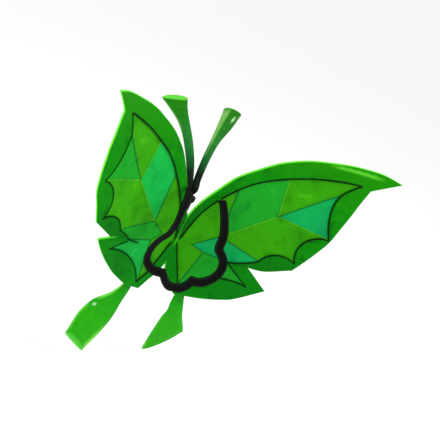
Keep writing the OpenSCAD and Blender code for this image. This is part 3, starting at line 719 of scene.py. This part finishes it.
BAND = {
    "right": [(0, -96), (7, -96), (14, -94.8), (20, -91.2), (26, -85.5), (30, -79), (33, -73.5),
              (42, -74.2), (51, -73.6), (60, -70.4), (68, -65.2), (75, -58.8), (80.5, -51), (84, -42.5),
              (84.6, -33), (83, -24.5), (79, -16), (72.5, -7.6), (65.5, -0.8), (58.5, 5), (55.6, 12),
              (55, 22), (53.6, 34), (51.5, 44), (48.2, 54), (45, 66), (41.5, 79), (37.6, 95)],
    "left": [(0, -96), (7, -96), (14, -94.2), (20.5, -90), (26.5, -84.5), (32, -78), (38.5, -70.5),
             (48, -70.6), (57, -69.6), (66, -67), (74.5, -61.8), (81, -54.5), (85, -46.5), (86.4, -37.5),
             (85.6, -27), (83, -17), (79, -7.5), (73.5, 0.5), (67.5, 7.5), (63, 15.5), (60.5, 27),
             (57.5, 40), (56, 54), (52.5, 69), (47, 82), (39.5, 96.5)],
}
BAND_TILT = math.tan(math.radians(20))
BAND_Y = -70
BEND_START, BEND_RADIUS = 25, 83.5
BAND_HALF_WIDTH, STITCH_ROW = 8.6, 6.4


def band_place(side, line):
    """The band hangs straight, bends back to the wing above, and is tilted across its width."""
    def place(points, layer):
        x, z = points[:, 0], points[:, 1]
        across = run_along(points, line)[1] * step(x, 0, 8)
        h = np.clip(z - BEND_START, 0, None)
        r = BEND_RADIUS - layer
        bent = BAND_Y + BEND_RADIUS - np.sqrt(np.maximum(r * r - h * h, 1))
        y = np.where(z > BEND_START, bent, BAND_Y + layer)
        return np.stack([side * x, y + across * BAND_TILT - DEPTH, z], 1) / 1000
    return place


def offset_line(path, w):
    """A path moved sideways, with mitred corners and any crossed loops cut out."""
    step = np.diff(path, axis=0)
    step /= np.linalg.norm(step, axis=1)[:, None]
    a, b = np.vstack([step[:1], step]), np.vstack([step, step[-1:]])
    left = np.stack([-(a + b)[:, 1], (a + b)[:, 0]], 1)
    moved = path + left / np.maximum(0.35, 1 + (a * b).sum(1))[:, None] * w
    return moved[edge_distance(moved, path, closed=False) > 0.97 * abs(w)]


def run_along(points, line):
    """How far along a path each point is, and how far to the left of it."""
    run = np.concatenate([[0], np.cumsum(np.linalg.norm(np.diff(line, axis=0), axis=1))])
    nearest = np.argmin(((points[:, None, :] - line[None]) ** 2).sum(2), axis=1)
    delta = points - line[nearest]
    way = np.gradient(line, axis=0)[nearest]
    way /= np.linalg.norm(way, axis=1)[:, None]
    return run[nearest] + (delta * way).sum(1), delta[:, 1] * way[:, 0] - delta[:, 0] * way[:, 1]


def band_layers(points, distance):
    r = 1.1
    drop = np.where(distance < r, r - np.sqrt(np.maximum(r * r - (r - distance) ** 2, 0)), 0)
    drop = np.where(points[:, 0] < 0.4, 0, drop)
    return -1.5 + drop, 1.5 - drop


def band_shade(line):
    def shade(points, distance):
        along, across = run_along(points, line)
        return {"along_m": along / 1000, "across_m": across / 1000}
    return shade


def stitches(side_name, line, place, flip):
    """Two rows of thread along the band's edges, each stitch a small bead."""
    points, faces = [], []
    for w in (-STITCH_ROW, STITCH_ROW):
        row = offset_line(line, w)
        run = np.concatenate([[0], np.cumsum(np.linalg.norm(np.diff(row, axis=0), axis=1))])
        for start in np.arange(2.0, run[-1] - 3, 3.1):
            ends = [np.array([np.interp(start + d, run, row[:, 0]), np.interp(start + d, run, row[:, 1])])
                    for d in (0, 0.55, 1.65, 2.2)]
            if ends[0][0] < 1:
                continue
            way = unit(ends[-1] - ends[0])
            across = np.array([-way[1], way[0]])
            first = len(points)
            for q, size in zip(ends, (0.12, 0.42, 0.42, 0.12)):
                for turn in range(6):
                    a = turn * math.pi / 3
                    points.append((*(q + across * size * math.cos(a)),
                                   -1.55 - 0.25 * size - 0.6 * size * math.sin(a)))
            for k in range(3):
                for i in range(6):
                    j = (i + 1) % 6
                    faces.append((first + k * 6 + i, first + k * 6 + j, first + k * 6 + 6 + j,
                                  first + k * 6 + 6 + i))
            faces.append(tuple(first + i for i in reversed(range(6))))
            faces.append(tuple(first + 18 + i for i in range(6)))
    points = np.array(points)
    if flip:
        faces = [tuple(reversed(f)) for f in faces]
    return build(f"{side_name}_band_stitching", place(points[:, :2], points[:, 2]), faces, [thread_paint],
                 None, replaces=[f"{side_name}_harness_band"], slot="black_webbing")


for side_name, side in (("left", -1), ("right", 1)):
    line = curve_through(BAND[side_name], 2.5, 40)
    place, flip = band_place(side, line), side < 0
    border = outline(offset_line(line, -BAND_HALF_WIDTH), offset_line(line, BAND_HALF_WIDTH)[::-1])
    strap = relief(f"{side_name}_harness_band_look", border, (0.35, 1.1), 2.6, band_layers, place, flip,
                   [webbing_cloth], None, band_shade(line), replaces=[f"{side_name}_harness_band"],
                   slot="black_webbing")
    seams = stitches(side_name, line, place, flip)
    for piece in (strap, seams):
        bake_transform(piece)


# ---- Flared horns ----

def spline_rings(rings, count):
    """Rings of centre, long half axis and short half axis, smoothly filled in between."""
    keys = np.array([np.concatenate(r) for r in rings], float)
    gaps = np.linalg.norm(np.diff(keys[:, :3], axis=0), axis=1)
    t = np.concatenate([[0], np.cumsum(gaps)])
    slopes = np.gradient(keys, t, axis=0)
    out, where = [], np.linspace(0, t[-1], count)
    for s in where:
        i = min(np.searchsorted(t, s, side="right") - 1, len(t) - 2)
        h = t[i + 1] - t[i]
        u = (s - t[i]) / h
        out.append((2 * u**3 - 3 * u**2 + 1) * keys[i] + (u**3 - 2 * u**2 + u) * h * slopes[i]
                   + (-2 * u**3 + 3 * u**2) * keys[i + 1] + (u**3 - u**2) * h * slopes[i + 1])
    return np.array(out), where / t[-1], where


def ring_loop(ring, sides, flat=0.0):
    """Points round one ring; flat presses in the half on the short axis's own side."""
    a = np.linspace(0, 2 * math.pi, sides, endpoint=False)
    c, s = np.cos(a), np.sin(a)
    c, s = np.sign(c) * np.abs(c) ** 0.9, np.sign(s) * np.abs(s) ** 0.9
    s = np.where(s > 0, s * (1 - flat), s)
    return ring[None, :3] + ring[3:6][None] * c[:, None] + ring[6:9][None] * s[:, None]


def loft(loops):
    """Rings joined into one closed skin, with flat caps at both ends."""
    n = len(loops[0])
    xyz = np.vstack(loops)
    faces = [tuple(reversed(range(n)))]
    for k in range(len(loops) - 1):
        for i in range(n):
            j = (i + 1) % n
            faces.append((k * n + i, k * n + j, (k + 1) * n + j, (k + 1) * n + i))
    last = (len(loops) - 1) * n
    faces.append(tuple(last + i for i in range(n)))
    return xyz, faces


def horn(name, rings, depth, wall, paint, slot, flat=0.0, banding=0.0, side_highlight=None, pleats=None, highlight_spot=None,
         sides=56):
    """A hollow flared horn with a lip, and its lining as a piece of its own."""
    rings, share, run = spline_rings(rings, 80)
    total, n = run[-1], sides
    angle = np.linspace(0, 2 * math.pi, n, endpoint=False)
    press = flat * step(share, 0.6, 1.0)

    def ring_at(back, thin):
        k = float(np.interp(total - back, run, np.arange(len(run))))
        i, f = int(k), k - int(k)
        ring = rings[i] * (1 - f) + rings[min(i + 1, len(rings) - 1)] * f
        ring[3:6] *= max(0.2, 1 - thin / np.linalg.norm(ring[3:6]))
        ring[6:9] *= max(0.2, 1 - thin / np.linalg.norm(ring[6:9]))
        return ring_loop(ring, n, flat * float(step(1 - back / total, 0.6, 1.0)))

    outer = []
    for k, ring in enumerate(rings):
        loop = ring_loop(ring, n, press[k])
        out = loop - ring[:3]
        out /= np.linalg.norm(out, axis=1)[:, None]
        lift = banding * np.sin(run[k] * 0.9) * np.ones(n)
        if pleats:
            at, width, height = pleats
            lift += (height * math.exp(-((share[k] - at) / width) ** 2) * np.sin(angle * 13)
                     * np.clip(np.cos(angle), 0, 1))
        outer.append(loop + out * lift[:, None])
    way = rings[-1][:3] - rings[-2][:3]
    way /= np.linalg.norm(way)
    lip = [ring_at(0, wall * 0.25) + way * wall * 0.35, ring_at(0, wall * 0.75) + way * wall * 0.35,
           ring_at(0, wall)]
    inner = [ring_at(b, wall) for b in np.linspace(2, depth, 9)]
    loops = outer + lip + inner
    rest = n * (len(lip) + len(inner))
    shades = {"along": np.repeat(share, n), "rim": np.zeros(n * len(outer)),
              "band": np.zeros((len(outer), n)), "side_highlight": np.zeros((len(outer), n)),
              "highlight_spot": np.zeros((len(outer), n))}
    if banding:
        shades["band"] += (0.35 * step(np.sin(run * 1.1 + 0.6 * np.sin(run * 0.31)), 0.2, 1.0)
                           * step(share, 0.45, 0.6))[:, None]
    # Painted highlight on the sides that face the light, over part of the horn's length
    for where, start, stop, edge, strength, fade in side_highlight or ():
        along = step(share, start, start + fade) * step(-share, -stop, 0.08 - stop)
        across = step(np.cos(angle - math.radians(where)), edge, min(1, edge + 0.3))
        shades["side_highlight"] = np.maximum(shades["side_highlight"], strength * along[:, None] * across[None])
    # Painted highlight: a small glint on a fold
    if highlight_spot:
        at, where, length, width = highlight_spot
        off = np.angle(np.exp(1j * (angle - math.radians(where))))
        shades["highlight_spot"] += np.exp(-((share - at) / length) ** 2)[:, None] * np.exp(-(off / width) ** 2)[None]
    ends = {"along": 1.0, "rim": 0.85}
    attributes = {k: np.concatenate([v.ravel(), np.full(rest, ends.get(k, 0.0))]) for k, v in shades.items()}
    xyz, faces = loft(loops)
    build(name + "_look", (xyz - [0, DEPTH, 0]) / 1000, faces, [paint], name, attributes, replaces=[name],
          slot=slot)

    skin = [ring_at(b, wall + 0.25) for b in np.linspace(0.8, depth - 2, 9)]
    back = [ring_at(b, wall + 0.8) for b in np.linspace(depth - 2.8, 0.8, 9)]
    loops, faces = skin + back, []
    for k in range(len(loops)):
        m = (k + 1) % len(loops)
        if k == len(skin) - 1:
            continue
        for i in range(n):
            j = (i + 1) % n
            faces.append((k * n + i, m * n + i, m * n + j, k * n + j))
    first = (len(skin) - 1) * n
    faces.append(tuple(first + i for i in range(n)))
    faces.append(tuple(len(skin) * n + i for i in reversed(range(n))))
    # Painted shade: the lining darkens deeper inside the horn
    deep = np.concatenate([np.linspace(0, 1, 9), np.linspace(1, 0, 9)])
    build(name + "_lining_look", (np.vstack(loops) - [0, DEPTH, 0]) / 1000, faces, [lining_paint], name,
          {"root": np.repeat(deep ** 1.4 * 0.9, n)}, replaces=[name + "_lining"], slot="light_green_foam")


left_foot, right_foot = np.array([-5.2, 25.5, 62]), np.array([5.2, 25.5, 62])
left_way, right_way = unit((-6.8, 16.5, 41)), unit((6.4, 16.5, 36))
LEFT_ANTENNA = [
    (left_foot + 8.2 * left_way, (-3.2, 0, 0), (0, -3, 1.2)),
    (left_foot + 10 * left_way, (-4.6, 0, 0), (0, -4.2, 1.7)),
    (left_foot + 14 * left_way, (-6.6, 0, 0), (0, -5.5, 2.2)),
    ((-10.8, 42, 103), (-7.6, 0, -1), (0, -6, 2.4)),
    ((-26, 61, 147), (-9, 0, -2), (0, -5.8, 3)),
    ((-43.8, 90, 186), (-11.7, 0, -2.5), (-0.5, -6, 3.4)),
    ((-59, 112, 207), (-19.5, 1, -4.2), (-4, -8, 0)),
    ((-70, 126, 221), (-26.5, 2, -6), (-9, -9, -7)),
]
RIGHT_ANTENNA = [
    (right_foot + 8.2 * right_way, (-3.2, 0, 0), (0, -3, 1.2)),
    (right_foot + 10 * right_way, (-4.6, 0, 0), (0, -4.2, 1.7)),
    (right_foot + 14 * right_way, (-6.6, 0, 0), (0, -5.5, 2.2)),
    ((10, 42, 98), (-7.6, 0, 1.2), (0, -6, 2.4)),
    ((19, 61, 138), (-8.4, 0, 1.8), (0, -5.8, 3)),
    ((37.4, 88, 177), (-10.8, 0, 2.4), (0, -6, 4.4)),
    ((53.4, 106, 204.6), (-17.8, -2, 2.8), (0, -8, 6)),
    ((65.8, 122.5, 234), (-22, -3.5, 4.6), (3, -11, 8)),
]
LEFT_TAIL = [
    ((-65.5, -11, -126), (-8.6, -2.4, 0), (-0.26, 0.87, 0)),
    ((-62.5, -7, -141), (-11, -2.2, 1), (-0.8, 2.9, 0.4)),
    ((-72.5, -7, -173), (-14.6, 0, 8), (-0.5, 5.5, 2)),
    ((-89.7, -5, -209), (-28.4, 0, 17), (-0.5, 7, 0)),
    ((-98.5, -4, -231), (-31.5, 0, 19), (0, 9, -3)),
    ((-111.5, 7, -302.5), (-26.5, 0, 17.5), (3.6, 15, -17)),
]
RIGHT_TAIL = [
    ((65.5, -11, -126), (-8.6, 2.4, 0), (0.26, 0.87, 0)),
    ((63.8, -7, -141), (-10.6, 2.2, -0.5), (0.8, 2.9, 0.4)),
    ((67.4, -5, -158), (-14.8, 1, 0), (0.5, 4.5, 1.2)),
    ((79, 2, -190), (-20.4, 1, 3.2), (0.5, 6, 2)),
    ((90.5, 12, -217), (-29, 3, 6), (1, 9, 4)),
    ((102, 38, -277), (-23.5, 20, -41.5), (1.6, 10, 4)),
]
horn("left_antenna", LEFT_ANTENNA, 30, 1.4, antenna_paint, "green_foam", flat=0.8, banding=0.12,
     side_highlight=[(0, 0.6, 1.02, 0.72, 0.7, 0.2)])
horn("right_antenna", RIGHT_ANTENNA, 30, 1.4, antenna_paint, "green_foam", banding=0.12,
     side_highlight=[(0, 0.34, 1.02, 0.5, 0.85, 0.3), (180, 0.88, 1.02, 0.5, 0.8, 0.1)], highlight_spot=(0.9, 100, 0.03, 0.1))
horn("left_tail", LEFT_TAIL, 34, 1.6, tail_paint, "green_foam", flat=0.85, pleats=(0.5, 0.07, 0.7),
     side_highlight=[(0, 0.0, 0.46, 0.8, 0.8, 0.1), (180, 0.5, 1.02, 0.6, 0.85, 0.3), (0, 0.5, 1.0, 0.85, 0.5, 0.1)],
     highlight_spot=(0.5, 320, 0.016, 0.12))
horn("right_tail", RIGHT_TAIL, 30, 1.6, tail_paint, "green_foam", side_highlight=[(0, 0.86, 1.05, 0.9, 0.6, 0.1)])

# ---- CAD pieces that keep their own shape ----

KEPT = {"spine_batten": black_plastic, "hinge_pin": steel, "antenna_socket": black_plastic}
for side_name in ("left", "right"):
    KEPT[f"{side_name}_strap_tab"] = leaf
    KEPT[f"{side_name}_hinge_leaf"] = dark_steel
    KEPT[f"{side_name}_leaf_rivets"] = steel
    KEPT[f"{side_name}_tail_rivet"] = steel
for node, material in KEPT.items():
    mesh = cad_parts[node].data
    mesh.materials.clear()
    mesh.materials.append(material)

# ---- Floor ----

floor_mesh = bpy.data.meshes.new("floor")
floor_z = -0.345
floor_mesh.from_pydata([(-60, -60, floor_z), (60, -60, floor_z), (60, 60, floor_z), (-60, 60, floor_z)], [],
                       [(0, 1, 2, 3)])
floor = bpy.data.objects.new("floor", floor_mesh)
scene.collection.objects.link(floor)
s = Shader("pale_floor")
floor_mesh.materials.append(s.set(Base_Color=(0.93, 0.93, 0.93, 1), Roughness=0.95, Specular_IOR_Level=0.1))
